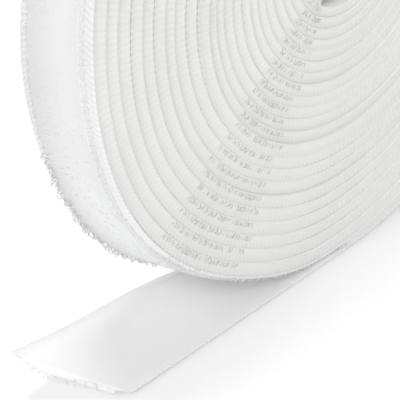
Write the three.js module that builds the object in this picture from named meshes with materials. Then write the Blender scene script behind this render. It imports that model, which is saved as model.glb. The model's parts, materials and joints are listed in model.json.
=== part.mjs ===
// A roll of woven hook tape that stands on its edge, with its free end run out along the floor.
// Millimetres, +Z up. The roll's axis runs along Y and the free end points to -X.
// The origin lies on the floor, straight below the roll's axis.
import * as THREE from 'three';

// Tape section: a thin woven web with a field of hooks on its outer side, and a plain selvedge on each edge
const TAPE_WIDTH = 20;
const WEB_THICKNESS = 0.5;
const HOOK_HEIGHT = 1.2;
const SELVEDGE_WIDTH = 2.4;

// Winding: whole and part turns from the core out to the floor, with gaps that widen towards the outside
const TURNS = 23.9;
const INNER_GAP = 0.5;
const OUTER_GAP = 1.3;
const STEPS_PER_TURN = 30;
const LEAST_TURN_GAP = 0.4;

// The outer turns hang slack on the side of the free end, the outermost one by the whole slack
const SIDE_SLACK = 3.2;
const SLACK_TURNS = 11;

// The middle turns lie back from the seen face, the innermost one by the whole dish
const DISH = 2;

// Core tube that the winding starts on, a little shorter than the tape is wide
const CORE_LENGTH = 16;
const CORE_BORE_RADIUS = 10.2;
const CORE_WALL = 2.5;
const CORE_CHAMFER = 0.4;
const CORE_CLEARANCE = 0.3;
const CORE_FACETS = 36;

// Free end: stiff lengths of tape, each hinged to the one before at the root of its hooks.
// It was cut on a slant, so its far edge runs out further than its near one.
const TAIL_LENGTHS = 4;
const TAIL_LENGTH = 15;
const END_SLANT = 15;
const HINGE_GAP = 0.3;
const LIFT_LIMIT = THREE.MathUtils.degToRad(5);
const DROOP_LIMIT = THREE.MathUtils.degToRad(40);

// Values that follow from the sizes above
const tapeThickness = WEB_THICKNESS + HOOK_HEIGHT;
const innerPitch = tapeThickness + INNER_GAP;
const pitchGrowth = (OUTER_GAP - INNER_GAP) / TURNS;
const coreRadius = CORE_BORE_RADIUS + CORE_WALL;
const innerBackRadius = coreRadius + CORE_CLEARANCE;
const rollRadius = roundRadius(TURNS) + tapeThickness;
const stepAngle = (2 * Math.PI) / STEPS_PER_TURN;
const halfStep = stepAngle / 2;
const runOutX = -rollRadius * Math.tan(halfStep);

// Materials
const hookTape = new THREE.MeshStandardMaterial({ color: 0xf1f2ee, roughness: 0.75, metalness: 0 });
const coreCard = new THREE.MeshStandardMaterial({ color: 0xb9a487, roughness: 0.9, metalness: 0 });

// Corners of the tape's section, in order round it: sideways place, and height above the web's back.
// The hooks lean in from the selvedges, so the section is a hexagon.
function sectionCorners() {
  const halfWidth = TAPE_WIDTH / 2;
  const halfField = halfWidth - SELVEDGE_WIDTH;
  return [
    { across: -halfWidth, height: 0 },
    { across: halfWidth, height: 0 },
    { across: halfWidth, height: WEB_THICKNESS },
    { across: halfField, height: tapeThickness },
    { across: -halfField, height: tapeThickness },
    { across: -halfWidth, height: WEB_THICKNESS },
  ];
}

// Joins rings of section corners into one closed strip of tape.
// Each end is closed by two faces, over the web and over the hooks, which meet where a hinge line may lie.
function stripGeometry(rings) {
  const corners = rings[0].length;
  const positions = rings.flat().flatMap((point) => [point.x, point.y, point.z]);
  const triangles = [];
  const addQuad = (a, b, c, d) => triangles.push(a, c, b, a, d, c);
  for (let ring = 0; ring + 1 < rings.length; ring += 1) {
    for (let corner = 0; corner < corners; corner += 1) {
      const next = (corner + 1) % corners;
      const here = ring * corners;
      const there = here + corners;
      addQuad(here + corner, there + corner, there + next, here + next);
    }
  }
  const last = (rings.length - 1) * corners;
  addQuad(0, 1, 2, 5);
  addQuad(5, 2, 3, 4);
  addQuad(last + 5, last + 2, last + 1, last);
  addQuad(last + 4, last + 3, last + 2, last + 5);
  const geometry = new THREE.BufferGeometry();
  geometry.setAttribute('position', new THREE.Float32BufferAttribute(positions, 3));
  geometry.setIndex(triangles);
  geometry.computeVertexNormals();
  return geometry;
}

// Angle from the bottom of the roll back along the winding, for each of its rings
function windingAngles() {
  const steps = Math.round(TURNS * STEPS_PER_TURN) + 1;
  return Array.from({ length: steps + 1 }, (_, ring) => (steps - ring) * stepAngle - halfStep);
}

// Turns between an angle of the winding and the floor
function turnsIn(angle) {
  return Math.max(0, angle - halfStep) / (2 * Math.PI);
}

// Radius of the web's back where so many turns lie under it, before any slack
function roundRadius(turns) {
  return innerBackRadius + turns * (innerPitch + (pitchGrowth * turns) / 2);
}

// Radius of the web's back at an angle of the winding, with the slack of the outer turns
function backRadius(angle) {
  const share = Math.max(0, 1 - turnsIn(angle) / SLACK_TURNS);
  const sideways = Math.max(0, -Math.sin(angle));
  return roundRadius(TURNS - turnsIn(angle)) + SIDE_SLACK * share * sideways ** 2;
}

// A point of the winding, set out so that each flat step touches the true spiral at its middle
function windingPoint(angle, across, height) {
  const reach = (backRadius(angle) + height) / Math.cos(halfStep);
  return new THREE.Vector3(
    reach * Math.sin(angle),
    across + (DISH * turnsIn(angle)) / TURNS,
    rollRadius - reach * Math.cos(angle),
  );
}

// A ring across the flat tape on the floor, with the hooks down and the web's back up.
// The end leans back above and below the root of the hooks, so that a hinge there is free to turn.
// inward is +1 where the tape lies on the +X side of the ring and -1 where it lies on the -X side.
function hingedRing(x, inward) {
  return sectionCorners().map(({ across, height }) => {
    const overRoot = height - WEB_THICKNESS;
    const lean = overRoot > 0 ? overRoot * Math.tan(DROOP_LIMIT / 2) : -overRoot * Math.tan(LIFT_LIMIT / 2);
    return new THREE.Vector3(x + inward * lean, across, tapeThickness - height);
  });
}

// The ring across the flat tape at its slanting cut
function cutRing(x) {
  return sectionCorners().map(({ across, height }) => {
    const fromNearEdge = across + TAPE_WIDTH / 2;
    return new THREE.Vector3(x - (END_SLANT * fromNearEdge) / TAPE_WIDTH, across, tapeThickness - height);
  });
}

// The least gap between two turns, measured on the corners and the middles of the steps
function leastTurnGap(angles) {
  const middles = angles.slice(1).map((angle, ring) => (angle + angles[ring]) / 2);
  const samples = (list, height, shrink) =>
    list.map((angle) => {
      const reach = (backRadius(angle) + height) * shrink;
      return new THREE.Vector2(reach * Math.sin(angle), reach * Math.cos(angle));
    });
  const atCorners = 1 / Math.cos(halfStep);
  const crowns = [...samples(angles, tapeThickness, atCorners), ...samples(middles, tapeThickness, 1)];
  const backs = [...samples(angles, 0, atCorners), ...samples(middles, 0, 1)];
  const turnsAt = [...angles, ...middles];
  let least = Infinity;
  crowns.forEach((crown, i) => {
    backs.forEach((back, j) => {
      const apart = Math.abs(turnsAt[i] - turnsAt[j]);
      if (apart > Math.PI) least = Math.min(least, crown.distanceTo(back));
    });
  });
  return least;
}

// The wound tape: one unbroken strip, from its start on the core to the flat where it meets the floor
function woundTape() {
  const angles = windingAngles();
  const gap = leastTurnGap(angles);
  console.log(`least gap between turns ${gap.toFixed(3)} mm, to be over ${LEAST_TURN_GAP} mm`);
  const section = sectionCorners();
  const rings = angles
    .slice(0, -1)
    .map((angle) => section.map(({ across, height }) => windingPoint(angle, across, height)));
  rings.push(hingedRing(runOutX, 1));
  const mesh = new THREE.Mesh(stripGeometry(rings), hookTape);
  mesh.name = 'wound_tape';
  return mesh;
}

// One stiff length of the free end, lying flat on the floor
function tailLength(index) {
  const nearHinge = runOutX - HINGE_GAP / 2 - index * TAIL_LENGTH;
  const isLast = index === TAIL_LENGTHS - 1;
  const start = nearHinge - HINGE_GAP / 2;
  const end = nearHinge - TAIL_LENGTH + HINGE_GAP / 2;
  const rings = [hingedRing(start, -1), isLast ? cutRing(end) : hingedRing(end, 1)];
  const mesh = new THREE.Mesh(stripGeometry(rings), hookTape);
  mesh.name = `tail_${index + 1}`;
  return mesh;
}

// The core tube: a plain card tube with its edges broken, turned about Y
function coreTube() {
  const half = CORE_LENGTH / 2;
  const profile = [
    new THREE.Vector2(CORE_BORE_RADIUS, CORE_CHAMFER - half),
    new THREE.Vector2(CORE_BORE_RADIUS + CORE_CHAMFER, -half),
    new THREE.Vector2(coreRadius - CORE_CHAMFER, -half),
    new THREE.Vector2(coreRadius, CORE_CHAMFER - half),
    new THREE.Vector2(coreRadius, half - CORE_CHAMFER),
    new THREE.Vector2(coreRadius - CORE_CHAMFER, half),
    new THREE.Vector2(CORE_BORE_RADIUS + CORE_CHAMFER, half),
    new THREE.Vector2(CORE_BORE_RADIUS, half - CORE_CHAMFER),
    new THREE.Vector2(CORE_BORE_RADIUS, CORE_CHAMFER - half),
  ];
  const mesh = new THREE.Mesh(new THREE.LatheGeometry(profile, CORE_FACETS), coreCard);
  mesh.name = 'core_tube';
  mesh.position.set(0, DISH, rollRadius);
  return mesh;
}

const roll = new THREE.Group();
roll.add(coreTube(), woundTape());
for (let index = 0; index < TAIL_LENGTHS; index += 1) roll.add(tailLength(index));

export default roll;
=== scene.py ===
"""Dresses a roll of woven hook tape that stands on its edge, with its free end run out.

Metres, in the frame of the solids: the roll's axis runs along Y and the free end points to -X.
"""

import json
import logging
import math
from dataclasses import dataclass, field
from enum import Enum
from typing import Any

import bpy
import numpy as np
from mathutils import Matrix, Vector


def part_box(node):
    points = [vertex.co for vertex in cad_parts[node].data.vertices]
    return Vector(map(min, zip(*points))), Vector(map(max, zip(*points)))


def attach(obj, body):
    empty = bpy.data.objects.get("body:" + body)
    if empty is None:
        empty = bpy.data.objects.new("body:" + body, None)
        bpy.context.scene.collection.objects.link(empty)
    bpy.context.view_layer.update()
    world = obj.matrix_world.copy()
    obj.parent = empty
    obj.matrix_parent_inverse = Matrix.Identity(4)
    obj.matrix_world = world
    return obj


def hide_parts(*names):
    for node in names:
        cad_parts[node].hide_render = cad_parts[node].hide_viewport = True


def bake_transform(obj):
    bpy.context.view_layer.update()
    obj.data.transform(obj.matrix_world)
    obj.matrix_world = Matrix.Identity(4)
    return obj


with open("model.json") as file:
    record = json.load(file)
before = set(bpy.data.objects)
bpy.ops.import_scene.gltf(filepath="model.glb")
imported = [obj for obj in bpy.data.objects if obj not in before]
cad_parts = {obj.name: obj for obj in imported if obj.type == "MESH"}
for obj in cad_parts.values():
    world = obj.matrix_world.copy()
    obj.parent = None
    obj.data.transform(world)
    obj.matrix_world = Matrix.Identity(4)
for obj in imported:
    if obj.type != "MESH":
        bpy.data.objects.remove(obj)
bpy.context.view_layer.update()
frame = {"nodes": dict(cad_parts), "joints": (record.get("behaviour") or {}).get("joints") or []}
LOG = logging.getLogger("hook_tape_roll")

Colour = tuple[float, float, float, float]
Sockets = dict[str | int, Any]


class Body(Enum):
    """Bodies that a piece rides on whole."""

    ROLL = "roll"
    TAIL_END = "tail_end"


class Attribute(Enum):
    """Named attributes that a tape's path carries, and the one that its web keeps."""

    ACROSS = "across_dir"
    OUTWARD = "outward_dir"
    ALONG = "along"
    PILE = "pile_height"
    MATTED = "matted"
    TAPE_PLACE = "tape_place"


def core_axis_height() -> float:
    """Height of the roll's axis over the floor, which is also the roll's radius."""
    low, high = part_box("core_tube")
    return (low[2] + high[2]) / 2


def tail_far_x() -> float:
    """Where the far corner of the tape's cut end lies."""
    low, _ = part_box("tail_4")
    return low[0]


@dataclass(frozen=True)
class TapeSizes:
    """Sizes of the woven tape and of its winding, in metres."""

    width: float = 0.020
    web: float = 0.0005
    hook_height: float = 0.0012
    selvedge: float = 0.0024
    inner_gap: float = 0.0005
    outer_gap: float = 0.0013
    turns: float = 23.9
    pile: float = 0.00156
    pile_gap: float = 0.00001
    rib_pitch: float = 0.0013
    rib_slant: float = 0.35
    side_slack: float = 0.0032
    slack_turns: float = 11.0
    dish: float = 0.002
    end_slant: float = 0.015
    axis_height: float = field(default_factory=core_axis_height)
    far_corner_x: float = field(default_factory=tail_far_x)

    @property
    def end_x(self) -> float:
        """Where the near corner of the cut end lies."""
        return self.far_corner_x + self.end_slant

    @property
    def half(self) -> float:
        """Half of the tape's width."""
        return self.width / 2

    @property
    def thickness(self) -> float:
        """Thickness of the tape over its hooks."""
        return self.web + self.hook_height

    @property
    def inner_pitch(self) -> float:
        """Step in radius over the first turn."""
        return self.thickness + self.inner_gap

    @property
    def pitch_growth(self) -> float:
        """How much the step in radius grows from one turn to the next."""
        return (self.outer_gap - self.inner_gap) / self.turns

    @property
    def inner_back(self) -> float:
        """Radius of the web's back at the start of the winding."""
        depth = self.turns * (self.inner_pitch + self.pitch_growth * self.turns / 2)
        return self.axis_height - self.thickness - depth

    def radius_at(self, turn: np.ndarray) -> np.ndarray:
        """Radius of the web's back after each number of turns, before any slack."""
        return self.inner_back + turn * (self.inner_pitch + self.pitch_growth * turn / 2)

    def length_at(self, turn: np.ndarray) -> np.ndarray:
        """Length of tape from the start of the winding to each number of turns."""
        mean_step = self.inner_pitch / 2 + self.pitch_growth * turn / 6
        return math.tau * turn * (self.inner_back + turn * mean_step)

    def turn_at(self, length: np.ndarray, samples: int = 4000) -> np.ndarray:
        """Number of turns at each length from the start, the inverse of length_at."""
        turns = np.linspace(0, self.turns, samples)
        return np.interp(length, self.length_at(turns), turns)


@dataclass
class TapePath:
    """Samples along the web's back.

    Each has a place, two directions of the section, the length so far, the height of the pile, and whether
    the hooks there are too matted for single ones to stand out, as 0 or 1.
    """

    points: np.ndarray
    across: np.ndarray
    outward: np.ndarray
    along: np.ndarray
    pile: np.ndarray
    matted: np.ndarray

    def as_object(self, name: str) -> bpy.types.Object:
        """Makes the path an open line of vertices that carries its directions as attributes.

        Args:
            name: name of the new object.

        Returns:
            The object, linked to the scene.
        """
        mesh = bpy.data.meshes.new(name)
        edges = [(i, i + 1) for i in range(len(self.points) - 1)]
        mesh.from_pydata(self.points.tolist(), edges, [])
        directions = {Attribute.ACROSS: self.across, Attribute.OUTWARD: self.outward}
        for label, values in directions.items():
            layer = mesh.attributes.new(label.value, "FLOAT_VECTOR", "POINT")
            layer.data.foreach_set("vector", values.astype(np.float32).ravel())
        numbers = {Attribute.ALONG: self.along, Attribute.PILE: self.pile, Attribute.MATTED: self.matted}
        for label, values in numbers.items():
            layer = mesh.attributes.new(label.value, "FLOAT", "POINT")
            layer.data.foreach_set("value", values.astype(np.float32))
        return linked_object(name, mesh)


@dataclass(frozen=True)
class WindingShape:
    """How the tape lies in the roll: a spiral, a little loose and never quite in line."""

    tape: TapeSizes
    ripple: float = 0.00006
    ripple_cycles: float = 2.37
    wander_sizes: tuple[float, ...] = (0.00016, 0.00007, 0.00005)
    wander_turns: tuple[float, ...] = (4.7, 2.17, 0.43)
    proud_turns: tuple[float, ...] = (13.2, 19.6)
    proud_depth: float = 0.0006
    proud_spread: float = 0.45
    flare: float = math.radians(14)
    flare_at: float = math.radians(236.5)
    flare_spread: float = math.radians(26.5)
    flare_pivot: float = 0.0078
    sag: float = math.radians(10)
    sag_at: float = math.radians(320)
    sag_spread: float = math.radians(23)
    droop: float = math.radians(5.5)
    droop_at: float = math.radians(350)
    droop_spread: float = math.radians(14)
    open_at: float = math.radians(318)
    open_half: float = math.radians(12)

    def sideways(self, turn: np.ndarray) -> np.ndarray:
        """Sideways place of the tape's middle.

        Args:
            turn: numbers of turns from the start.

        Returns:
            Places along Y: the inner turns lie back from the seen face, and a few turns stand proud.
        """
        place = self.tape.dish * (1 - turn / self.tape.turns)
        for size, turns in zip(self.wander_sizes, self.wander_turns):
            place = place + size * np.sin(math.tau * turn / turns)
        for proud in self.proud_turns:
            place = place - self.proud_depth * np.exp(-(((turn - proud) / self.proud_spread) ** 2))
        settled = np.clip(self.tape.turns - turn, 0, 1)
        return place * settled

    def radius(self, turn: np.ndarray, angle: np.ndarray) -> np.ndarray:
        """Radius of the web's back.

        Args:
            turn: numbers of turns from the start.
            angle: angles back from the bottom of the roll.

        Returns:
            The spiral's radius, with the slack of its outer turns and a ripple that fades at the floor.
        """
        slack = self.tape.side_slack * self.looseness(turn) * np.clip(-np.sin(angle), 0, 1) ** 2
        settled = np.clip(self.tape.turns - turn, 0, 1)
        ripple = self.ripple * np.sin(math.tau * self.ripple_cycles * turn) * settled
        return self.tape.radius_at(turn) + slack + ripple

    def looseness(self, turn: np.ndarray) -> np.ndarray:
        """How slack the winding is at each number of turns, from 0 inside to 1 at the floor."""
        return np.clip(1 - (self.tape.turns - turn) / self.tape.slack_turns, 0, 1)

    def tilt(self, turn: np.ndarray, angle: np.ndarray) -> tuple[np.ndarray, np.ndarray]:
        """How the slack turns tilt about their own length.

        Args:
            turn: numbers of turns from the start.
            angle: angles back from the bottom of the roll.

        Returns:
            Angles of the tilt, and how far the tape's middle moves outwards with it. High up on the side
            of the free end the turns flare open towards the seen face. Lower down their far edge sags,
            and just over the free end their near edge droops.
        """
        around = np.mod(angle, math.tau)
        from_droop = np.mod(angle - self.droop_at + math.pi, math.tau) - math.pi
        loose = self.looseness(turn)
        settled = np.clip(self.tape.turns - turn, 0, 1)
        flare = self.flare * loose * np.exp(-(((around - self.flare_at) / self.flare_spread) ** 2))
        sag = self.sag * loose * np.exp(-(((around - self.sag_at) / self.sag_spread) ** 2))
        droop = self.droop * loose * settled * np.exp(-((from_droop / self.droop_spread) ** 2))
        pushed_out = self.flare_pivot * np.sin(flare) + self.tape.half * (np.sin(sag) + np.sin(droop))
        return flare - sag + droop, pushed_out

    def path(self, first_turn: float, last_turn: float, step: float) -> TapePath:
        """Samples a stretch of the winding at an even step.

        Args:
            first_turn: number of turns where the stretch starts.
            last_turn: number of turns where it ends.
            step: length of tape from one sample to the next.

        Returns:
            The samples, from the inner end out. The matted hooks fill each gap up to the next turn, and
            lie lower on the last turn. Single hooks stand out of them there and where the gaps open.
        """
        first, last = self.tape.length_at(first_turn), self.tape.length_at(last_turn)
        along = np.linspace(first, last, round((last - first) / step) + 1)
        turn = self.tape.turn_at(along)
        angle = math.tau * (self.tape.turns - turn)
        radial = np.stack([np.sin(angle), np.zeros_like(angle), -np.cos(angle)], axis=1)
        tilt, pushed_out = self.tilt(turn, angle)
        reach = self.radius(turn, angle) + pushed_out
        points = radial * reach[:, None]
        points[:, 1] = self.sideways(turn)
        points[:, 2] += self.tape.axis_height
        next_tilt, next_pushed_out = self.tilt(turn + 1, angle)
        edge_closing = self.tape.half * np.abs(np.sin(next_tilt) - np.sin(tilt))
        room = self.radius(turn + 1, angle) + next_pushed_out - reach - edge_closing
        level = np.array([0.0, 1.0, 0.0])
        cosine, sine = np.cos(tilt)[:, None], np.sin(tilt)[:, None]
        across = cosine * level - sine * radial
        outward = cosine * radial + sine * level
        covered = turn < self.tape.turns - 1
        pile = np.where(covered, room - self.tape.pile_gap, self.tape.pile)
        from_open = np.abs(np.mod(angle, math.tau) - self.open_at)
        matted = covered & (from_open > self.open_half)
        return TapePath(points, across, outward, along, pile, matted.astype(float))


class NodeMaker:
    """Adds nodes to one node tree and links them."""

    def __init__(self, tree: bpy.types.NodeTree) -> None:
        """Takes the tree that the nodes go into."""
        self.tree = tree

    def node(self, kind: str, sockets: Sockets | None = None, **settings: Any) -> bpy.types.Node:
        """Adds one node.

        Args:
            kind: the node type's own name.
            sockets: inputs by name or place, each with a value or with the output that feeds it.
            settings: properties of the node, set before its inputs.

        Returns:
            The new node.
        """
        node = self.tree.nodes.new(kind)
        for name, value in settings.items():
            setattr(node, name, value)
        for key, value in (sockets or {}).items():
            if isinstance(value, bpy.types.NodeSocket):
                self.tree.links.new(value, node.inputs[key])
            else:
                node.inputs[key].default_value = value
        return node

    def math(self, operation: str, *values: Any) -> bpy.types.NodeSocket:
        """Adds a Math node and returns its output."""
        return self.node("ShaderNodeMath", dict(enumerate(values)), operation=operation).outputs[0]

    def vector(self, operation: str, *values: Any) -> bpy.types.NodeSocket:
        """Adds a Vector Math node and returns its output."""
        return self.node("ShaderNodeVectorMath", dict(enumerate(values)), operation=operation).outputs[0]

    def scaled(self, direction: Any, length: Any) -> bpy.types.NodeSocket:
        """A direction times a length."""
        sockets = {"Vector": direction, "Scale": length}
        return self.node("ShaderNodeVectorMath", sockets, operation="SCALE").outputs[0]

    def ramp(self, value: Any, low: Any, high: Any) -> bpy.types.NodeSocket:
        """A smooth step from 0 at low to 1 at high."""
        sockets = {"Value": value, "From Min": low, "From Max": high}
        return self.node("ShaderNodeMapRange", sockets, interpolation_type="SMOOTHSTEP").outputs[0]


class FinishMaker(NodeMaker):
    """Adds the nodes that the finishes share."""

    def noise(self, scale: float, detail: float) -> bpy.types.NodeSocket:
        """Adds a noise texture that is fixed to the object and returns its values."""
        here = self.node("ShaderNodeTexCoord").outputs["Object"]
        sockets = {"Vector": here, "Scale": scale, "Detail": detail}
        return self.node("ShaderNodeTexNoise", sockets).outputs[0]

    def mixed(self, share: Any, low: Any, high: Any) -> bpy.types.NodeSocket:
        """Mixes two colours, from low where the share is 0 to high where it is 1 or more."""
        sockets = {0: share, 6: low, 7: high}
        settings = {"data_type": "RGBA", "clamp_factor": True}
        return self.node("ShaderNodeMix", sockets, **settings).outputs[2]


class GrowingTree(NodeMaker):
    """A Geometry Nodes tree that grows a piece on a path, with named inputs for its sizes."""

    def __init__(self, name: str) -> None:
        """Makes an empty tree with a path going in and a mesh coming out."""
        super().__init__(bpy.data.node_groups.new(name, "GeometryNodeTree"))
        self.tree.interface.new_socket("Path", in_out="INPUT", socket_type="NodeSocketGeometry")
        self.tree.interface.new_socket("Piece", in_out="OUTPUT", socket_type="NodeSocketGeometry")
        self.start = self.node("NodeGroupInput")
        self.end = self.node("NodeGroupOutput")

    def input(self, name: str, kind: str) -> bpy.types.NodeSocket:
        """Adds a named input of the tree and returns its socket inside."""
        self.tree.interface.new_socket(name, in_out="INPUT", socket_type=kind)
        return self.start.outputs[name]

    def attribute(self, label: Attribute, data_type: str = "FLOAT_VECTOR") -> bpy.types.NodeSocket:
        """Reads a named attribute."""
        node = self.node("GeometryNodeInputNamedAttribute", {"Name": label.value}, data_type=data_type)
        return node.outputs["Attribute"]

    def sample(self, source: Any, value: Any, index: Any, data_type: str = "FLOAT_VECTOR") -> Any:
        """Reads a value at one point of another geometry."""
        sockets = {"Geometry": source, "Value": value, "Index": index}
        return self.node("GeometryNodeSampleIndex", sockets, data_type=data_type).outputs[0]

    def close(self, geometry: bpy.types.NodeSocket, material: bpy.types.NodeSocket) -> None:
        """Ends the tree in real geometry with its material on."""
        real = self.node("GeometryNodeRealizeInstances", {"Geometry": geometry}).outputs[0]
        dressed = self.node("GeometryNodeSetMaterial", {"Geometry": real, "Material": material}).outputs[0]
        self.tree.links.new(dressed, self.end.inputs["Piece"])

    def grow(self, name: str, path: TapePath, sizes: dict[str, Any]) -> bpy.types.Object:
        """Runs the tree on a path and keeps the result as a plain mesh.

        Args:
            name: name of the new piece.
            path: what the piece grows along.
            sizes: values of the tree's named inputs.

        Returns:
            The piece, without modifiers and with its place in its mesh.
        """
        line = path.as_object(f"{name}_path")
        modifier = line.modifiers.new("grow", "NODES")
        modifier.node_group = self.tree
        for item in self.tree.interface.items_tree:
            if item.name in sizes:
                modifier[item.identifier] = sizes[item.name]
        graph = bpy.context.evaluated_depsgraph_get()
        mesh = bpy.data.meshes.new_from_object(
            line.evaluated_get(graph), preserve_all_data_layers=True, depsgraph=graph
        )
        line.modifiers.remove(modifier)
        bpy.data.objects.remove(line)
        mesh.name = name
        return linked_object(name, mesh)


def linked_object(name: str, mesh: bpy.types.Mesh) -> bpy.types.Object:
    """Makes an object of a mesh and links it to the scene."""
    made = bpy.data.objects.new(name, mesh)
    bpy.context.scene.collection.objects.link(made)
    return made


def web_tree() -> GrowingTree:
    """The tree that sweeps the web's section along the tape.

    Returns:
        A tree that bends a long tube to the path: one ring for each sample, one corner for each point of
        the section. Ribs on the selvedges come from the length so far, and tight folds stay crisp.
    """
    tree = GrowingTree("tape_web")
    section_object = tree.input("Section", "NodeSocketObject")
    field_half = tree.input("Hook Field Half Width", "NodeSocketFloat")
    tape_half = tree.input("Tape Half Width", "NodeSocketFloat")
    rib_pitch = tree.input("Rib Pitch", "NodeSocketFloat")
    rib_slant = tree.input("Rib Slant", "NodeSocketFloat")
    rib_share = tree.input("Rib Share", "NodeSocketFloat")
    rim_reach = tree.input("Rim Reach", "NodeSocketFloat")
    fold_angle = tree.input("Fold Angle", "NodeSocketFloat")
    material = tree.input("Material", "NodeSocketMaterial")
    path = tree.start.outputs["Path"]

    section = tree.node("GeometryNodeObjectInfo", {"Object": section_object}).outputs["Geometry"]
    corners = tree.node("GeometryNodeAttributeDomainSize", {"Geometry": section}).outputs[0]
    rings = tree.node("GeometryNodeAttributeDomainSize", {"Geometry": path}).outputs[0]
    sides = {"Vertices": corners, "Side Segments": tree.math("SUBTRACT", rings, 1.0), "Fill Segments": 1}
    tube = tree.node("GeometryNodeMeshCylinder", sides, fill_type="NGON")

    index = tree.node("GeometryNodeInputIndex").outputs[0]
    counted = {0: index, 1: corners}
    ring = tree.node("FunctionNodeIntegerMath", counted, operation="DIVIDE_FLOOR").outputs[0]
    corner = tree.node("FunctionNodeIntegerMath", counted, operation="MODULO").outputs[0]
    position = tree.node("GeometryNodeInputPosition").outputs[0]
    middle = tree.sample(path, position, ring)
    across_dir = tree.sample(path, tree.attribute(Attribute.ACROSS), ring)
    outward_dir = tree.sample(path, tree.attribute(Attribute.OUTWARD), ring)
    along = tree.sample(path, tree.attribute(Attribute.ALONG, "FLOAT"), ring, "FLOAT")
    pile = tree.sample(path, tree.attribute(Attribute.PILE, "FLOAT"), ring, "FLOAT")
    place = tree.node("ShaderNodeSeparateXYZ", {0: tree.sample(section, position, corner)})
    across = place.outputs["X"]
    height = tree.math("MULTIPLY_ADD", place.outputs["Z"], pile, place.outputs["Y"])

    on_selvedge = tree.ramp(tree.math("ABSOLUTE", across), field_half, tape_half)
    slanted = tree.math("MULTIPLY_ADD", tree.math("ABSOLUTE", across), rib_slant, along)
    turns = tree.math("MULTIPLY", tree.math("DIVIDE", slanted, rib_pitch), math.tau)
    rib = tree.math("MULTIPLY", tree.math("COSINE", turns), on_selvedge)
    ribbed_height = tree.math("MULTIPLY_ADD", tree.math("MULTIPLY", rib, rib_share), height, height)
    side = tree.math("SIGN", across)
    ribbed_across = tree.math("MULTIPLY_ADD", tree.math("MULTIPLY", rib, rim_reach), side, across)
    spread = tree.vector("ADD", middle, tree.scaled(across_dir, ribbed_across))
    bent_place = tree.vector("ADD", spread, tree.scaled(outward_dir, ribbed_height))

    bent = tree.node("GeometryNodeSetPosition", {"Geometry": tube.outputs["Mesh"], "Position": bent_place})
    smooth = {"Geometry": bent.outputs[0], "Shade Smooth": True}
    smoothed = tree.node("GeometryNodeSetShadeSmooth", smooth).outputs[0]
    cap_ends = {0: tube.outputs["Top"], 1: tube.outputs["Bottom"]}
    on_cap = tree.node("FunctionNodeBooleanMath", cap_ends, operation="OR").outputs[0]
    fold = tree.node("GeometryNodeInputMeshEdgeAngle").outputs[0]
    folding = {0: fold, 1: fold_angle}
    is_fold = tree.node("FunctionNodeCompare", folding, operation="GREATER_THAN").outputs[0]
    either = tree.node("FunctionNodeBooleanMath", {0: on_cap, 1: is_fold}, operation="OR").outputs[0]
    sharp = {"Geometry": smoothed, "Selection": either, "Shade Smooth": False}
    capped = tree.node("GeometryNodeSetShadeSmooth", sharp, domain="EDGE").outputs[0]
    tape_place = tree.node("ShaderNodeCombineXYZ", {0: along, 1: across, 2: height}).outputs[0]
    store = {"Geometry": capped, "Name": Attribute.TAPE_PLACE.value, "Value": tape_place}
    stored = tree.node("GeometryNodeStoreNamedAttribute", store, data_type="FLOAT_VECTOR", domain="POINT")
    tree.close(stored.outputs[0], material)
    return tree


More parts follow.
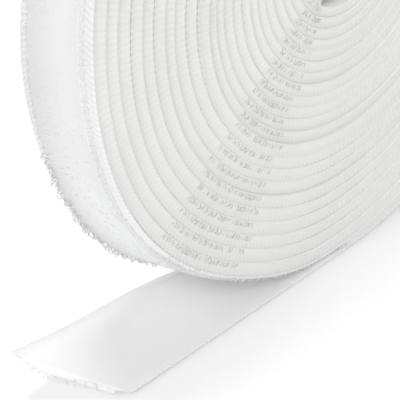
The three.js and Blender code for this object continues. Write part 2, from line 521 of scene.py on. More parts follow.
def row_tree() -> GrowingTree:
    """The tree that plants rows of one small shape along the tape.

    Returns:
        A tree that steps along the path, sets several rows side by side, and stands a hook or a fibre on
        each point, every second row turned about and half a step on.
    """
    tree = GrowingTree("planted_rows")
    shape = tree.input("Shape", "NodeSocketObject")
    step = tree.input("Step", "NodeSocketFloat")
    rows = tree.input("Rows", "NodeSocketInt")
    first_row = tree.input("First Row", "NodeSocketFloat")
    row_spacing = tree.input("Row Spacing", "NodeSocketFloat")
    root_height = tree.input("Root Height", "NodeSocketFloat")
    jitter = tree.input("Jitter", "NodeSocketFloat")
    swing = tree.input("Swing", "NodeSocketFloat")
    lean = tree.input("Lean", "NodeSocketFloat")
    least_size = tree.input("Least Size", "NodeSocketFloat")
    most_size = tree.input("Most Size", "NodeSocketFloat")
    seed = tree.input("Seed", "NodeSocketInt")
    material = tree.input("Material", "NodeSocketMaterial")

    def swayed(amount: Any, offset: int) -> bpy.types.NodeSocket:
        """A random number from minus to plus an amount."""
        own_seed = tree.math("ADD", seed, float(offset))
        sockets = {2: -1.0, 3: 1.0, "Seed": own_seed}
        unit = tree.node("FunctionNodeRandomValue", sockets, data_type="FLOAT").outputs[1]
        return tree.math("MULTIPLY", unit, amount)

    line = tree.node("GeometryNodeMeshToCurve", {"Mesh": tree.start.outputs["Path"]}).outputs[0]
    stepping = {"Curve": line, "Length": step}
    stepped = tree.node("GeometryNodeResampleCurve", stepping, mode="LENGTH").outputs[0]
    is_matted = tree.attribute(Attribute.MATTED, "FLOAT")
    hidden = tree.node("FunctionNodeCompare", {0: is_matted, 1: 0.5}, operation="GREATER_THAN").outputs[0]
    thinning = {"Geometry": stepped, "Selection": hidden}
    shown = tree.node("GeometryNodeDeleteGeometry", thinning, domain="POINT").outputs[0]
    copying = {"Geometry": shown, "Amount": rows}
    copies = tree.node("GeometryNodeDuplicateElements", copying, domain="POINT")
    row = copies.outputs["Duplicate Index"]
    odd = tree.math("MODULO", row, 2.0)

    across_dir = tree.attribute(Attribute.ACROSS)
    outward_dir = tree.attribute(Attribute.OUTWARD)
    onward_dir = tree.vector("CROSS_PRODUCT", across_dir, outward_dir)
    row_place = tree.math("ADD", tree.math("MULTIPLY_ADD", row, row_spacing, first_row), swayed(jitter, 1))
    half_step = tree.math("MULTIPLY", tree.math("MULTIPLY", odd, 0.5), step)
    onward_place = tree.math("ADD", half_step, swayed(jitter, 2))
    sideways = tree.scaled(across_dir, row_place)
    onward = tree.scaled(onward_dir, onward_place)
    raised = tree.scaled(outward_dir, root_height)
    offset = tree.vector("ADD", tree.vector("ADD", sideways, onward), raised)
    placing = {"Geometry": copies.outputs[0], "Offset": offset}
    placed = tree.node("GeometryNodeSetPosition", placing).outputs[0]

    axes = {"Primary Axis": outward_dir, "Secondary Axis": across_dir}
    standing = {"primary_axis": "Z", "secondary_axis": "X"}
    upright = tree.node("FunctionNodeAxesToRotation", axes, **standing).outputs[0]
    about = tree.math("MULTIPLY_ADD", odd, math.pi, swayed(swing, 3))
    tilt = tree.node("ShaderNodeCombineXYZ", {0: swayed(lean, 4), 1: swayed(lean, 5), 2: about}).outputs[0]
    tilted = tree.node("FunctionNodeEulerToRotation", {"Euler": tilt}).outputs[0]
    turn = {"Rotation": upright, "Rotate By": tilted}
    turned = tree.node("FunctionNodeRotateRotation", turn, rotation_space="LOCAL").outputs[0]
    size_sockets = {2: least_size, 3: most_size, "Seed": seed}
    size = tree.node("FunctionNodeRandomValue", size_sockets, data_type="FLOAT").outputs[1]
    shape_mesh = tree.node("GeometryNodeObjectInfo", {"Object": shape}).outputs["Geometry"]
    planting = {"Points": placed, "Instance": shape_mesh, "Rotation": turned, "Scale": size}
    planted = tree.node("GeometryNodeInstanceOnPoints", planting).outputs[0]
    tree.close(planted, material)
    return tree


@dataclass(frozen=True)
class WovenFinish:
    """White woven nylon: crossing yarns on the hook side with painted shade between them, and a smoother,
    brighter back.
    """

    tape: TapeSizes
    name: str
    yarn: Colour = (0.95, 0.955, 0.95, 1.0)
    # painted shade in the gaps between the yarns
    shade_between_yarns: Colour = (0.90, 0.905, 0.90, 1.0)
    back: Colour = (0.95, 0.95, 0.945, 1.0)
    rib: Colour = (0.88, 0.885, 0.88, 1.0)
    # painted shade in the grooves between the ribs
    groove_shade: Colour = (0.80, 0.805, 0.80, 1.0)
    warp_pitch: float = 0.00042
    weft_pitch: float = 0.00058
    roughness: float = 0.78
    sheen: float = 0.25
    sheen_roughness: float = 0.5
    roughness_spread: float = 0.2
    weave_depth: float = 0.00006
    weave_strength: float = 0.6
    back_relief: float = 0.3
    back_share: float = 0.2
    hook_side_share: float = 0.7
    # how much the fibre noise varies the painted shade between the yarns
    weave_shade_base: float = 0.6
    weave_shade_spread: float = 0.8
    fibre_scale: float = 2400.0
    mottle_scale: float = 55.0
    mottle_spread: float = 0.10

    def material(self) -> bpy.types.Material:
        """Makes the material.

        Returns:
            A material whose weave follows the tape's own length and width.
        """
        made, maker, shader = new_finish(self.name)
        place = maker.node("ShaderNodeAttribute", attribute_name=Attribute.TAPE_PLACE.value)
        parts = maker.node("ShaderNodeSeparateXYZ", {0: place.outputs["Vector"]})
        along, across, height = parts.outputs
        warp = maker.math("SINE", maker.math("MULTIPLY", across, math.tau / self.warp_pitch))
        weft = maker.math("SINE", maker.math("MULTIPLY", along, math.tau / self.weft_pitch))
        crossing = maker.math("MULTIPLY_ADD", maker.math("MULTIPLY", warp, weft), 0.5, 0.5)
        back_height = self.back_share * self.tape.web
        hook_side_height = self.hook_side_share * self.tape.web
        hook_side = maker.ramp(height, back_height, hook_side_height)

        fibres = maker.noise(self.fibre_scale, detail=3.0)
        mottle = maker.noise(self.mottle_scale, detail=2.0)
        # Painted shade between the yarns: where the crossing is low the colour goes to the darker shade
        # between yarns, varied by fibre noise.
        weave_shade_noise = maker.math("MULTIPLY_ADD", fibres, self.weave_shade_spread, self.weave_shade_base)
        weave_light_share = maker.math("MULTIPLY", crossing, weave_shade_noise)
        yarns = maker.mixed(weave_light_share, self.shade_between_yarns, self.yarn)
        soft_back = maker.mixed(crossing, self.back, self.yarn)
        sides = maker.mixed(hook_side, soft_back, yarns)
        # Painted shade: the grooves between the selvedge ribs take the darker groove colour, on a selvedge
        # colour a little darker than the yarns.
        rib_shading = maker.mixed(self.groove_shade_share(maker, along, across), self.rib, self.groove_shade)
        field_half = self.tape.half - self.tape.selvedge
        from_field = maker.math("SUBTRACT", maker.math("ABSOLUTE", across), field_half)
        on_selvedge = maker.ramp(from_field, 0.0, self.tape.selvedge / 3)
        ribbed = maker.mixed(maker.math("MULTIPLY", on_selvedge, hook_side), sides, rib_shading)
        tone = maker.math("MULTIPLY_ADD", mottle, self.mottle_spread, 1 - self.mottle_spread / 2)
        toning = {"Color": ribbed, "Value": tone}
        colour = maker.node("ShaderNodeHueSaturation", toning).outputs[0]

        depth = maker.math("MULTIPLY_ADD", hook_side, 1 - self.back_relief, self.back_relief)
        relief = maker.math("ADD", maker.math("MULTIPLY", crossing, depth), fibres)
        bumping = {"Height": relief, "Distance": self.weave_depth, "Strength": self.weave_strength}
        bump = maker.node("ShaderNodeBump", bumping)
        smoothest = self.roughness - self.roughness_spread / 2
        rough = maker.math("MULTIPLY_ADD", fibres, self.roughness_spread, smoothest)
        maker.tree.links.new(colour, shader.inputs["Base Color"])
        maker.tree.links.new(bump.outputs[0], shader.inputs["Normal"])
        maker.tree.links.new(rough, shader.inputs["Roughness"])
        shader.inputs["Sheen Weight"].default_value = self.sheen
        shader.inputs["Sheen Roughness"].default_value = self.sheen_roughness
        return made

    def groove_shade_share(self, maker: FinishMaker, along: Any, across: Any) -> bpy.types.NodeSocket:
        """How far each place lies between the slanting ribs of the selvedges, where painted shade darkens
        the grooves.

        Args:
            maker: maker of the material's nodes.
            along: length along the tape.
            across: place across the tape.

        Returns:
            A share from 0 on a rib to 1 between two ribs.
        """
        from_middle = maker.math("ABSOLUTE", across)
        slanted = maker.math("MULTIPLY_ADD", from_middle, self.tape.rib_slant, along)
        wave = maker.math("COSINE", maker.math("MULTIPLY", slanted, math.tau / self.tape.rib_pitch))
        return maker.math("MULTIPLY_ADD", wave, -0.5, 0.5)


@dataclass(frozen=True)
class FilamentFinish:
    """Drawn nylon filament of the hooks and loose fibres: pale and a little glossy."""

    name: str = "hook_filament"
    light: Colour = (0.95, 0.955, 0.95, 1.0)
    dull: Colour = (0.92, 0.925, 0.92, 1.0)
    roughness: float = 0.42
    roughness_spread: float = 0.2
    patch_scale: float = 700.0
    draw_scale: float = 9000.0
    draw_depth: float = 0.00001

    def material(self) -> bpy.types.Material:
        """Makes the material.

        Returns:
            A material whose tone and gloss change a little from hook to hook.
        """
        made, maker, shader = new_finish(self.name)
        patch = maker.noise(self.patch_scale, detail=1.0)
        draw = maker.noise(self.draw_scale, detail=0.0)
        colour = maker.mixed(patch, self.dull, self.light)
        bump = maker.node("ShaderNodeBump", {"Height": draw, "Distance": self.draw_depth})
        smoothest = self.roughness - self.roughness_spread / 2
        rough = maker.math("MULTIPLY_ADD", patch, self.roughness_spread, smoothest)
        maker.tree.links.new(colour, shader.inputs["Base Color"])
        maker.tree.links.new(bump.outputs[0], shader.inputs["Normal"])
        maker.tree.links.new(rough, shader.inputs["Roughness"])
        return made


@dataclass(frozen=True)
class CardFinish:
    """Plain unprinted white card, wound from a slanting strip."""

    name: str = "wound_card"
    pale: Colour = (0.86, 0.85, 0.82, 1.0)
    dark: Colour = (0.74, 0.73, 0.70, 1.0)
    roughness: float = 0.9
    fibre_scale: float = 900.0
    strip_width: float = 0.016
    seam_width: float = 0.03
    seam_tone: float = 0.4
    depth: float = 0.00008
    depth_strength: float = 0.5
    axis_height: float = field(default_factory=core_axis_height)

    def material(self) -> bpy.types.Material:
        """Makes the material.

        Returns:
            A material with pulp fibres and one slanting seam round the tube.
        """
        made, maker, shader = new_finish(self.name)
        here = maker.node("ShaderNodeTexCoord").outputs["Object"]
        centring = {"Vector": here, "Location": (0, 0, -self.axis_height)}
        centred = maker.node("ShaderNodeMapping", centring)
        parts = maker.node("ShaderNodeSeparateXYZ", {0: centred.outputs[0]})
        angle = maker.math("ARCTAN2", parts.outputs[2], parts.outputs[0])
        around = maker.math("DIVIDE", angle, math.tau)
        wound = maker.math("MULTIPLY_ADD", parts.outputs[1], 1 / self.strip_width, around)
        from_seam = maker.math("PINGPONG", wound, 0.5)
        off_seam = maker.ramp(from_seam, 0.0, self.seam_width)
        fibres = maker.noise(self.fibre_scale, detail=6.0)
        seam = maker.math("MULTIPLY_ADD", off_seam, 1 - self.seam_tone, self.seam_tone)
        tone = maker.math("MULTIPLY", fibres, seam)
        colour = maker.mixed(tone, self.dark, self.pale)
        relief = maker.math("ADD", fibres, off_seam)
        bumping = {"Height": relief, "Distance": self.depth, "Strength": self.depth_strength}
        bump = maker.node("ShaderNodeBump", bumping)
        maker.tree.links.new(colour, shader.inputs["Base Color"])
        maker.tree.links.new(bump.outputs[0], shader.inputs["Normal"])
        shader.inputs["Roughness"].default_value = self.roughness
        return made


@dataclass(frozen=True)
class FloorFinish:
    """Matt white studio floor."""

    name: str = "studio_floor"
    white: Colour = (0.90, 0.90, 0.90, 1.0)
    glow: float = 0.20
    roughness: float = 0.95

    def material(self) -> bpy.types.Material:
        """Makes the material."""
        made, _, shader = new_finish(self.name)
        shader.inputs["Base Color"].default_value = self.white
        shader.inputs["Roughness"].default_value = self.roughness
        shader.inputs["Specular IOR Level"].default_value = 0.0
        shader.inputs["Emission Color"].default_value = self.white
        shader.inputs["Emission Strength"].default_value = self.glow
        return made


def new_finish(name: str) -> tuple[bpy.types.Material, FinishMaker, bpy.types.Node]:
    """Starts a material.

    Args:
        name: name of the material.

    Returns:
        The material, a maker for its nodes and its shader.
    """
    made = bpy.data.materials.new(name)
    made.use_nodes = True
    maker = FinishMaker(made.node_tree)
    return made, maker, made.node_tree.nodes["Principled BSDF"]


@dataclass(frozen=True)
class Finishes:
    """The materials that the pieces share."""

    inside: bpy.types.Material
    outside: bpy.types.Material
    free_end: bpy.types.Material
    filament: bpy.types.Material
    shaded_filament: bpy.types.Material
    card: bpy.types.Material


@dataclass
class WebSection:
    """Outline of the woven web: a flat back, rounded rims, a cord on each selvedge and a pile."""

    tape: TapeSizes
    rim: float = 0.00018
    rim_share: float = 1.2
    cord_share: float = 1.5
    foot_share: float = 1.1
    pile_inset: float = 0.0029
    crown_inset: float = 0.0031
    foot_reach: float = 0.0003
    foot: float = 0.45
    brow: float = 0.75
    rib_share: float = 0.22
    rim_reach: float = 0.00005
    fold_angle: float = math.radians(75)
    rings_per_rib: int = 4

    def outline(self) -> list[tuple[float, float, float]]:
        """Corners of the section.

        Returns:
            For each corner its place across the tape, its height over the back, and the share of the
            pile's height that is added to it. A pile that reaches out over the cords leaves no selvedge.
        """
        half, web = self.tape.half, self.tape.web
        pile = half - self.pile_inset
        cord = half - self.tape.selvedge / 3
        rim = [
            (half - self.tape.selvedge, 0.0, 0.0),
            (half - self.rim, 0.0, 0.0),
            (half, self.rim_share * web / 2, 0.0),
            (half - self.rim, self.rim_share * web, 0.0),
        ]
        selvedge = [
            (cord, self.cord_share * web, 0.0),
            (pile + self.foot_reach, self.foot_share * web, 0.0),
        ]
        matted = [
            (pile, 0.0, self.foot),
            (pile, 0.0, self.brow),
            (half - self.crown_inset, 0.0, 1.0),
        ]
        right = [*rim, *(selvedge if cord > pile else []), *matted]
        left = [(-across, height, share) for across, height, share in right]
        return [*left, *reversed(right)]

    def as_object(self) -> bpy.types.Object:
        """Makes the section a set of points that the web's tree reads."""
        mesh = bpy.data.meshes.new("web_section")
        mesh.from_pydata(self.outline(), [], [])
        return linked_object("web_section", mesh)

    def sizes(self, section: bpy.types.Object, material: bpy.types.Material) -> dict[str, Any]:
        """Values of the web tree's named inputs.

        Args:
            section: the section's points.
            material: finish of the web.

        Returns:
            One value for each input's name.
        """
        return {
            "Section": section,
            "Hook Field Half Width": self.tape.half - self.tape.selvedge,
            "Tape Half Width": self.tape.half,
            "Rib Pitch": self.tape.rib_pitch,
            "Rib Slant": self.tape.rib_slant,
            "Rib Share": self.rib_share,
            "Rim Reach": self.rim_reach,
            "Fold Angle": self.fold_angle,
            "Material": material,
        }


def tube_mesh(
    name: str, points: list[Vector], radius: float, sides: int, taper: float
) -> bpy.types.Object:
    """Makes a thin closed tube along points that lie in the plane y = 0.

    Args:
        name: name of the new object.
        points: middle of the tube, from its root to its tip.
        radius: radius at the root.
        sides: number of sides.
        taper: radius at the tip as a share of that at the root.

    Returns:
        The tube, linked to the scene.
    """
    vertices: list[Vector] = []
    faces: list[tuple[int, ...]] = []
    last = len(points) - 1
    for ring, point in enumerate(points):
        onward = (points[min(ring + 1, last)] - points[max(ring - 1, 0)]).normalized()
        level = Vector((0.0, 1.0, 0.0))
        normal = level.cross(onward)
        size = radius * (1 + (taper - 1) * ring / last)
        for corner in range(sides):
            angle = math.tau * corner / sides
            vertices.append(point + size * (math.cos(angle) * normal + math.sin(angle) * level))
    for ring in range(last):
        for corner in range(sides):
            after = (corner + 1) % sides
            here, there = ring * sides, (ring + 1) * sides
            faces.append((here + corner, here + after, there + after, there + corner))
    faces.append(tuple(reversed(range(sides))))
    faces.append(tuple(range(last * sides, (last + 1) * sides)))
    mesh = bpy.data.meshes.new(name)
    mesh.from_pydata([tuple(v) for v in vertices], [], faces)
    mesh.shade_smooth()
    return linked_object(name, mesh)


@dataclass
class HookRows:
    """Rows of hooks: cut loops of filament that stand on the web and bend over at the top."""

    tape: TapeSizes
    filament_radius: float = 0.00008
    stem_share: float = 0.66
    root_depth: float = 0.00012
    crook_angles: tuple[float, ...] = (55.0, 120.0, 195.0)
    sides: int = 3
    tip_share: float = 0.8
    step: float = 0.00100
    row_spacing: float = 0.00090
    jitter: float = 0.00018
    swing: float = 0.55
    lean: float = 0.16
    least_size: float = 0.75
    most_size: float = 1.12
    edge_rows: int = 3
    edge_step: float = 0.00090
    edge_least_size: float = 0.6
    edge_most_size: float = 1.0
    seed: int = 11

    def hook(self) -> bpy.types.Object:
        """Makes one hook, standing on its root at the origin."""
        crook_height = self.tape.hook_height * self.stem_share
        bend = self.tape.hook_height - crook_height - self.filament_radius
        points = [Vector((-bend, 0, -self.root_depth)), Vector((-bend, 0, crook_height))]
        for degrees in self.crook_angles:
            angle = math.radians(degrees)
            high = crook_height + bend * math.sin(angle)
            points.append(Vector((-bend * math.cos(angle), 0, high)))
        return tube_mesh("hook", points, self.filament_radius, self.sides, self.tip_share)

    @property
    def outer_row(self) -> float:
        """Place of the row nearest to a selvedge, from the tape's middle."""
        return self.tape.half - self.tape.selvedge - self.filament_radius

    @property
    def field_rows(self) -> int:
        """Number of rows in the whole hook field."""
        return round(2 * self.outer_row / self.row_spacing) + 1

    def sizes(
        self, shape: bpy.types.Object, material: bpy.types.Material, **changes: Any
    ) -> dict[str, Any]:
        """Values of the row tree's named inputs, for the whole field unless changed.

        Args:
            shape: the shape that is planted.
            material: its finish.
            changes: values that differ, by the inputs' names in lower case with underscores.

        Returns:
            One value for each input's name.
        """
        values = {
            "Shape": shape,
            "Step": self.step,
            "Rows": self.field_rows,
            "First Row": -self.outer_row,
            "Row Spacing": 2 * self.outer_row / (self.field_rows - 1),
            "Root Height": self.tape.web,
            "Jitter": self.jitter,
            "Swing": self.swing,
            "Lean": self.lean,
            "Least Size": self.least_size,
            "Most Size": self.most_size,
            "Seed": self.seed,
            "Material": material,
        }
        values.update({name.replace("_", " ").title(): value for name, value in changes.items()})
        return values


def keep_piece(piece: bpy.types.Object) -> None:
    """Reports a piece and its number of triangles."""
    piece.data.calc_loop_triangles()
    LOG.info("%s: %d triangles", piece.name, len(piece.data.loop_triangles))


@dataclass
class WoundTape:
    """The tape in the roll, one strip from the core out to the floor."""

    tape: TapeSizes
    finishes: Finishes
    outer_from: float = 22.905
    inner_rim: float = 0.00010
    inner_inset: float = 0.00030
    inner_crown_inset: float = 0.00010
    inner_rib_share: float = 0.06
    inner_rings_per_rib: int = 3
    inner_parts: int = 3
    outer_parts: int = 2
    sample_step: float = 0.0005
    ragged_turns: tuple[float, float] = (0.985, 0.80)
    ragged_rows: int = 3
    ragged_size: float = 2.0
    ragged_lean: float = 0.5
    fringe_turns: tuple[float, float] = (0.972, 0.86)
    fringe_inset: float = 0.0004
    fringe_sizes: tuple[float, float] = (0.5, 0.95)

    def build(self, web: GrowingTree, rows: GrowingTree) -> None:
        """Makes the web and the hooks of the whole winding.

        Args:
            web: the tree that sweeps the web.
            rows: the tree that plants hooks.
        """
        shape = WindingShape(self.tape)
        self.build_web(web, shape)
        self.build_hooks(rows, shape)

    def build_web(self, web: GrowingTree, shape: WindingShape) -> None:
        """Makes the web: ribbed on the outer turn, and inside the roll filled by its pile up to the rims.

        Args:
            web: the tree that sweeps the web.
            shape: how the tape lies.
        """
        inner = WebSection(
            self.tape,
            rim=self.inner_rim,
            pile_inset=self.inner_inset,
            crown_inset=self.inner_crown_inset,
            rib_share=self.inner_rib_share,
            rings_per_rib=self.inner_rings_per_rib,
        )
        outer = WebSection(self.tape)
        inside = self.stretches(0.0, self.outer_from, self.inner_parts)
        stretches = [
            (f"tape_wound_inside_{number}", first, last, inner, self.finishes.inside)
            for number, (first, last) in enumerate(inside, start=1)
        ]
        stretches.append(
            ("tape_wound_outside", self.outer_from, self.tape.turns, outer, self.finishes.outside)
        )
        for name, first, last, section, finish in stretches:
            outline = section.as_object()
            path = shape.path(first, last, self.tape.rib_pitch / section.rings_per_rib)
            piece = web.grow(name, path, section.sizes(outline, finish))
            bpy.data.objects.remove(outline)
            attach(piece, Body.ROLL.value)
            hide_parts("wound_tape")
            length = self.tape.length_at(last) - self.tape.length_at(first)
            keep_piece(piece)

    def stretches(self, first_turn: float, last_turn: float, parts: int) -> list[tuple[float, float]]:
        """Cuts a run of turns into stretches of equal length.

        Args:
            first_turn: number of turns where the run starts.
            last_turn: number of turns where it ends.
            parts: number of stretches.

        Returns:
            The first and last number of turns of each stretch.
        """
        lengths = np.linspace(self.tape.length_at(first_turn), self.tape.length_at(last_turn), parts + 1)
        turns = self.tape.turn_at(lengths)
        return list(zip(turns[:-1], turns[1:]))

    def build_hooks(self, rows: GrowingTree, shape: WindingShape) -> None:
        """Plants the hooks that show.

        They are the whole field on the outer turn, a few rows at both edges of the turns inside, longer
        ragged hooks at the outer turn's far edge, and a fringe at its near edge.

        Args:
            rows: the tree that plants hooks.
            shape: how the tape lies.
        """
        hooks = HookRows(self.tape)
        hook = hooks.hook()

        def plant(name: str, first: float, last: float, sizes: dict[str, Any]) -> None:
            """Plants the hooks of one piece, from one number of turns to another."""
            piece = rows.grow(name, shape.path(first, last, self.sample_step), sizes)
            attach(piece, Body.ROLL.value)
            keep_piece(piece)

        whole_field = hooks.sizes(hook, self.finishes.filament)
        outside = self.stretches(self.outer_from, self.tape.turns, self.outer_parts)
        for number, (first, last) in enumerate(outside, start=1):
            plant(f"hooks_outside_{number}", first, last, whole_field)
        inside = self.stretches(0.0, self.outer_from, self.inner_parts)
        for edge, side in (("near", -1), ("far", 1)):
            edge_rows = hooks.sizes(
                hook,
                self.finishes.shaded_filament,
                step=hooks.edge_step,
                rows=hooks.edge_rows,
                first_row=side * (self.tape.half - self.inner_inset + hooks.filament_radius),
                row_spacing=-side * hooks.row_spacing / 2,
                lean=self.ragged_lean,
                least_size=hooks.edge_least_size,
                most_size=hooks.edge_most_size,
            )
            for number, (first, last) in enumerate(inside, start=1):
                plant(f"hooks_{edge}_edge_{number}", first, last, edge_rows)
        ragged = hooks.sizes(
            hook,
            self.finishes.filament,
            step=hooks.edge_step,
            rows=self.ragged_rows,
            first_row=hooks.outer_row,
            row_spacing=-hooks.row_spacing / 2,
            lean=self.ragged_lean,
            most_size=self.ragged_size,
            seed=hooks.seed + 1,
        )
        first, last = (self.tape.turns - turns for turns in self.ragged_turns)
        plant("hooks_ragged", first, last, ragged)
        least, most = self.fringe_sizes
        fringe = hooks.sizes(
            hook,
            self.finishes.filament,
            step=hooks.edge_step,
            rows=self.ragged_rows,
            first_row=self.fringe_inset - self.tape.half,
            row_spacing=hooks.row_spacing / 2,
            lean=self.ragged_lean,
            least_size=least,
            most_size=most,
            seed=hooks.seed + 2,
        )
        first, last = (self.tape.turns - turns for turns in self.fringe_turns)
        plant("hooks_fringe", first, last, fringe)
        bpy.data.objects.remove(hook)


@dataclass
class FreeEnd:
    """The last stretch of tape, run out along the floor with its smooth back up."""

    tape: TapeSizes
    finishes: Finishes
    bend_half: float = 0.005
    far_lift: float = 0.0056
    lift_from: float = -0.015
    lift_full: float = -0.046
    end_lift: float = 0.0035
    end_from: float = -0.042
    end_power: float = 1.5
    cup_power: float = 1.6
    corner_reach: float = 0.0015
    end_bow: float = 0.0007
    wave_height: float = 0.0012
    wave_from: float = -0.045
    waves: float = 1.5
    slant_from: float = -0.008
    sample_step: float = 0.0005
    fibre_length: float = 0.0028
    fibre_radius: float = 0.00005
    fibre_sides: int = 3
    fibre_tip_share: float = 0.5
    fibre_bows: tuple[float, ...] = (0.0, 0.05, 0.14, 0.30)
    fibre_heights: tuple[float, ...] = (-0.1, 0.3, 0.65, 1.0)
    fibre_rows: int = 2
    fibre_step: float = 0.00035
    fibre_lean: float = 0.35
    fibre_sizes: tuple[float, float] = (0.1, 0.7)
    edge_samples: int = 80
    seed: int = 23

    def joints(self) -> list[dict[str, Any]]:
        """The hinges of the free end, from the roll out."""
        return sorted(frame["joints"], key=lambda joint: -joint["pos_m"][0])

    def lie(self, points: np.ndarray) -> np.ndarray:
        """Lays straight flat tape the way it lies on the floor.

        Args:
            points: places on a tape that runs straight out.

        Returns:
            The places after the far edge has cupped up beside the roll and again at its end, the end has
            waved, and the tape has run out as far as the slanting and slightly bowed cut.
        """
        x, y, z = points.T
        from_near = y + self.tape.half
        share = from_near / self.tape.width
        beside = self.gone(x, self.lift_from, self.lift_full)
        lift = self.far_lift * beside * beside * (3 - 2 * beside)
        lift = lift + self.end_lift * self.gone(x, self.end_from, self.tape.end_x) ** self.end_power
        twist = np.arcsin(lift / self.tape.width)
        ending = self.gone(x, self.wave_from, self.tape.end_x) ** 2
        wave = self.wave_height * ending * (1 - np.cos(math.tau * self.waves * share)) / 2
        slant = self.tape.end_slant + self.corner_reach
        cut = slant * share + self.end_bow * np.clip(4 * share * (1 - share), 0, 1)
        slanted_x = x - cut * self.gone(x, self.slant_from, self.tape.end_x)
        turned_y = from_near * np.cos(twist) - self.tape.half
        cup = lift * np.clip(share, 0, None) ** self.cup_power
        return np.stack([slanted_x, turned_y, z + cup + wave], axis=1)

    @staticmethod
    def gone(x: np.ndarray, start_x: float, end_x: float) -> np.ndarray:
        """Share of the way that each place has gone from one place to another, kept between 0 and 1."""
        return np.clip((x - start_x) / (end_x - start_x), 0, 1)

    def settle(self, piece: bpy.types.Object) -> None:
        """Moves a piece's straight tape to where it lies."""
        mesh = piece.data
        flat = np.empty(len(mesh.vertices) * 3, np.float32)
        mesh.vertices.foreach_get("co", flat)
        placed = self.lie(flat.reshape(-1, 3).astype(float))
        mesh.vertices.foreach_set("co", placed.astype(np.float32).ravel())
        mesh.update()

    def path(self, start_x: float, end_x: float, step: float) -> TapePath:
        """Samples a straight stretch of the free end.

        Args:
            start_x: where the stretch starts.
            end_x: where it ends, further out.
            step: length from one sample to the next.

        Returns:
            The samples, from the roll out.
        """
        x = np.linspace(start_x, end_x, round((start_x - end_x) / step) + 1)
        points = np.stack([x, np.zeros_like(x), np.full_like(x, self.tape.thickness)], axis=1)
        across = np.tile([0.0, 1.0, 0.0], (len(x), 1))
        outward = np.tile([0.0, 0.0, -1.0], (len(x), 1))
        pile = np.full_like(x, self.tape.pile)
        along = self.tape.length_at(self.tape.turns) - x
        return TapePath(points, across, outward, along, pile, np.zeros_like(x))

    def build(self, web: GrowingTree, rows: GrowingTree) -> None:
        """Makes the free end in four pieces, one over each hinge, cut halfway between the hinges.

        Args:
            web: the tree that sweeps the web.
            rows: the tree that plants hooks and fibres.
        """
        section = WebSection(self.tape)
        outline = section.as_object()
        hooks = HookRows(self.tape, seed=self.seed)
        hook = hooks.hook()
        joints = self.joints()
        hinge_x = [joint["pos_m"][0] for joint in joints]
        cuts = [0.0]
        cuts += [(here + there) / 2 for here, there in zip(hinge_x, hinge_x[1:])]
        cuts.append(self.tape.end_x)
        for number, joint in enumerate(joints, start=1):
            start_x, end_x = cuts[number - 1], cuts[number]
            web_path = self.path(start_x, end_x, self.tape.rib_pitch / section.rings_per_rib)
            tape = web.grow(f"tape_end_{number}", web_path, section.sizes(outline, self.finishes.free_end))
            hook_path = self.path(start_x, end_x, self.sample_step)
            below = rows.grow(f"hooks_end_{number}", hook_path, hooks.sizes(hook, self.finishes.filament))
            for piece in (tape, below):
                self.settle(piece)
                self.bend(piece, joint)
                keep_piece(piece)
            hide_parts(f"tail_{number}")
        bpy.data.objects.remove(outline)
        bpy.data.objects.remove(hook)
        self.build_fray(rows)

    def bend(self, piece: bpy.types.Object, joint: dict[str, Any]) -> None:
        """Bakes a piece's place into its mesh; it doesn't bend the piece over the hinge.

        Args:
            piece: a stretch of tape or of hooks.
            joint: the hinge that it lies over; not used.
        """
        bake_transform(piece)

    def build_fray(self, rows: GrowingTree) -> None:
        """Makes the cut yarns that stand out of the tape's end.

        Args:
            rows: the tree that plants hooks and fibres.
        """
        shares = zip(self.fibre_bows, self.fibre_heights)
        points = [Vector((bow, 0, high)) * self.fibre_length for bow, high in shares]
        fibre = tube_mesh("fibre", points, self.fibre_radius, self.fibre_sides, self.fibre_tip_share)
        y = np.linspace(-self.tape.half, self.tape.half, self.edge_samples)
        height = self.tape.thickness - self.tape.web / 2
        edge = np.stack([np.full_like(y, self.tape.end_x), y, np.full_like(y, height)], axis=1)
        across = np.tile([0.0, 0.0, 1.0], (len(y), 1))
        outward = np.tile([-1.0, 0.0, 0.0], (len(y), 1))
        path = TapePath(edge, across, outward, y, np.zeros_like(y), np.zeros_like(y))
        least, most = self.fibre_sizes
        sizes = HookRows(self.tape).sizes(
            fibre,
            self.finishes.filament,
            step=self.fibre_step,
            rows=self.fibre_rows,
            first_row=-self.tape.web / 4,
            row_spacing=self.tape.web / 2,
            root_height=0.0,
            jitter=self.tape.web / 4,
            swing=math.pi,
            lean=self.fibre_lean,
            least_size=least,
            most_size=most,
            seed=self.seed,
        )
        fray = rows.grow("frayed_end", path, sizes)
        self.settle(fray)
        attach(fray, Body.TAIL_END.value)
        keep_piece(fray)
        bpy.data.objects.remove(fibre)


@dataclass
class CoreTube:
    """The card tube in the middle, whose solid stays and gets its finish."""

    finishes: Finishes
    node: str = "core_tube"

    def dress(self) -> None:
        """Puts the card finish on the solid."""
        core = frame["nodes"][self.node]
        core.data.materials.clear()
        core.data.materials.append(self.finishes.card)
        LOG.info("%s: card finish", self.node)


@dataclass(frozen=True)
class SoftBox:
    """One soft light: where it stands, how large and how strong it is."""

    name: str
    place: tuple[float, float, float]
    size: float
    power: float


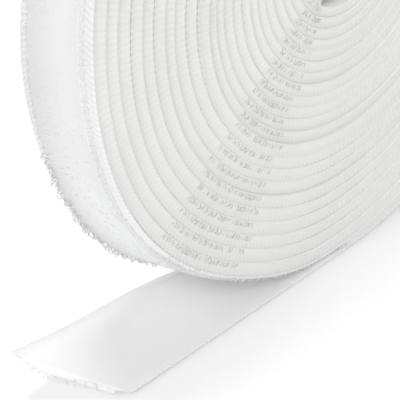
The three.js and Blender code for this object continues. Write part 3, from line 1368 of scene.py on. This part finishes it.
@dataclass
class Studio:
    """White floor, soft light and the camera at the photograph's viewing angle."""

    view_azimuth: float = math.radians(48.28)
    view_elevation: float = math.radians(33.67)
    target: tuple[float, float, float] = (-0.03685, 0.0, 0.02765)
    distance: float = 0.5385
    lens: float = 236.59
    sensor: float = 36.0
    clip_ratio: float = 100.0
    floor_half: float = 3.0
    sky_strength: float = 0.50
    lights: tuple[SoftBox, ...] = (
        SoftBox("front_softbox", (-1.20, -0.65, 1.10), 0.5, 9.0),
        SoftBox("face_softbox", (-0.25, -1.5, 0.45), 0.6, 1.8),
        SoftBox("top_softbox", (-0.12, 0.17, 1.4), 0.35, 6.0),
    )

    def view_direction(self) -> Vector:
        """Unit direction from the camera to the object."""
        level = math.cos(self.view_elevation)
        return Vector(
            (
                math.sin(self.view_azimuth) * level,
                math.cos(self.view_azimuth) * level,
                -math.sin(self.view_elevation),
            )
        )

    def build(self) -> None:
        """Makes the floor, the lights and the camera."""
        self.build_floor()
        self.build_light()
        self.build_camera()

    def build_floor(self) -> None:
        """Makes the floor, which isn't part of the object."""
        half = self.floor_half
        mesh = bpy.data.meshes.new("floor")
        corners = [(-half, -half, 0), (half, -half, 0), (half, half, 0), (-half, half, 0)]
        mesh.from_pydata(corners, [], [(0, 1, 2, 3)])
        mesh.materials.append(FloorFinish().material())
        linked_object("floor", mesh)

    def build_light(self) -> None:
        """Makes an even white sky and the soft boxes, all aimed at the roll."""
        world = bpy.data.worlds.new("studio_sky")
        world.use_nodes = True
        sky = world.node_tree.nodes["Background"]
        sky.inputs["Color"].default_value = (1.0, 1.0, 1.0, 1.0)
        sky.inputs["Strength"].default_value = self.sky_strength
        bpy.context.scene.world = world
        bpy.context.scene.view_settings.view_transform = "Standard"
        for box in self.lights:
            light = bpy.data.lights.new(box.name, "AREA")
            light.size = box.size
            light.energy = box.power
            placed = bpy.data.objects.new(box.name, light)
            placed.location = box.place
            aim = Vector(self.target) - Vector(box.place)
            placed.rotation_euler = aim.to_track_quat("-Z", "Y").to_euler()
            bpy.context.scene.collection.objects.link(placed)

    def build_camera(self) -> None:
        """Makes the camera and gives it to the scene."""
        lens = bpy.data.cameras.new("camera")
        lens.lens = self.lens
        lens.sensor_width = self.sensor
        lens.clip_start = self.distance / self.clip_ratio
        lens.clip_end = self.distance * self.clip_ratio
        camera = bpy.data.objects.new("camera", lens)
        direction = self.view_direction()
        camera.location = Vector(self.target) - direction * self.distance
        camera.rotation_euler = direction.to_track_quat("-Z", "Y").to_euler()
        bpy.context.scene.collection.objects.link(camera)
        bpy.context.scene.camera = camera


def main() -> None:
    """Builds the studio and the pieces in order."""
    logging.basicConfig(level=logging.INFO, format="%(message)s")
    tape = TapeSizes()
    finishes = Finishes(
        # A copy of the white nylon with darker colours: painted shade on the wound face of the roll.
        inside=WovenFinish(
            tape,
            name="woven_nylon_inside",
            yarn=(0.88, 0.88, 0.87, 1.0),
            shade_between_yarns=(0.84, 0.84, 0.83, 1.0),
            rib=(0.82, 0.82, 0.81, 1.0),
            groove_shade=(0.79, 0.79, 0.78, 1.0),
        ).material(),
        # A copy of the white nylon with darker yarn colours: painted shade on the outer turn.
        outside=WovenFinish(
            tape,
            name="woven_nylon_outside",
            yarn=(0.83, 0.84, 0.835, 1.0),
            shade_between_yarns=(0.805, 0.815, 0.81, 1.0),
        ).material(),
        # A copy of the white nylon with a brighter back: painted light on the run-out end.
        free_end=WovenFinish(tape, name="woven_nylon_end", back=(0.975, 0.975, 0.97, 1.0)).material(),
        filament=FilamentFinish().material(),
        shaded_filament=FilamentFinish(
            name="shaded_filament", light=(0.74, 0.72, 0.69, 1.0), dull=(0.52, 0.495, 0.46, 1.0)
        ).material(),
        card=CardFinish().material(),
    )
    web = web_tree()
    rows = row_tree()
    Studio().build()
    CoreTube(finishes).dress()
    WoundTape(tape, finishes).build(web, rows)
    FreeEnd(tape, finishes).build(web, rows)


if __name__ == "__main__":
    main()
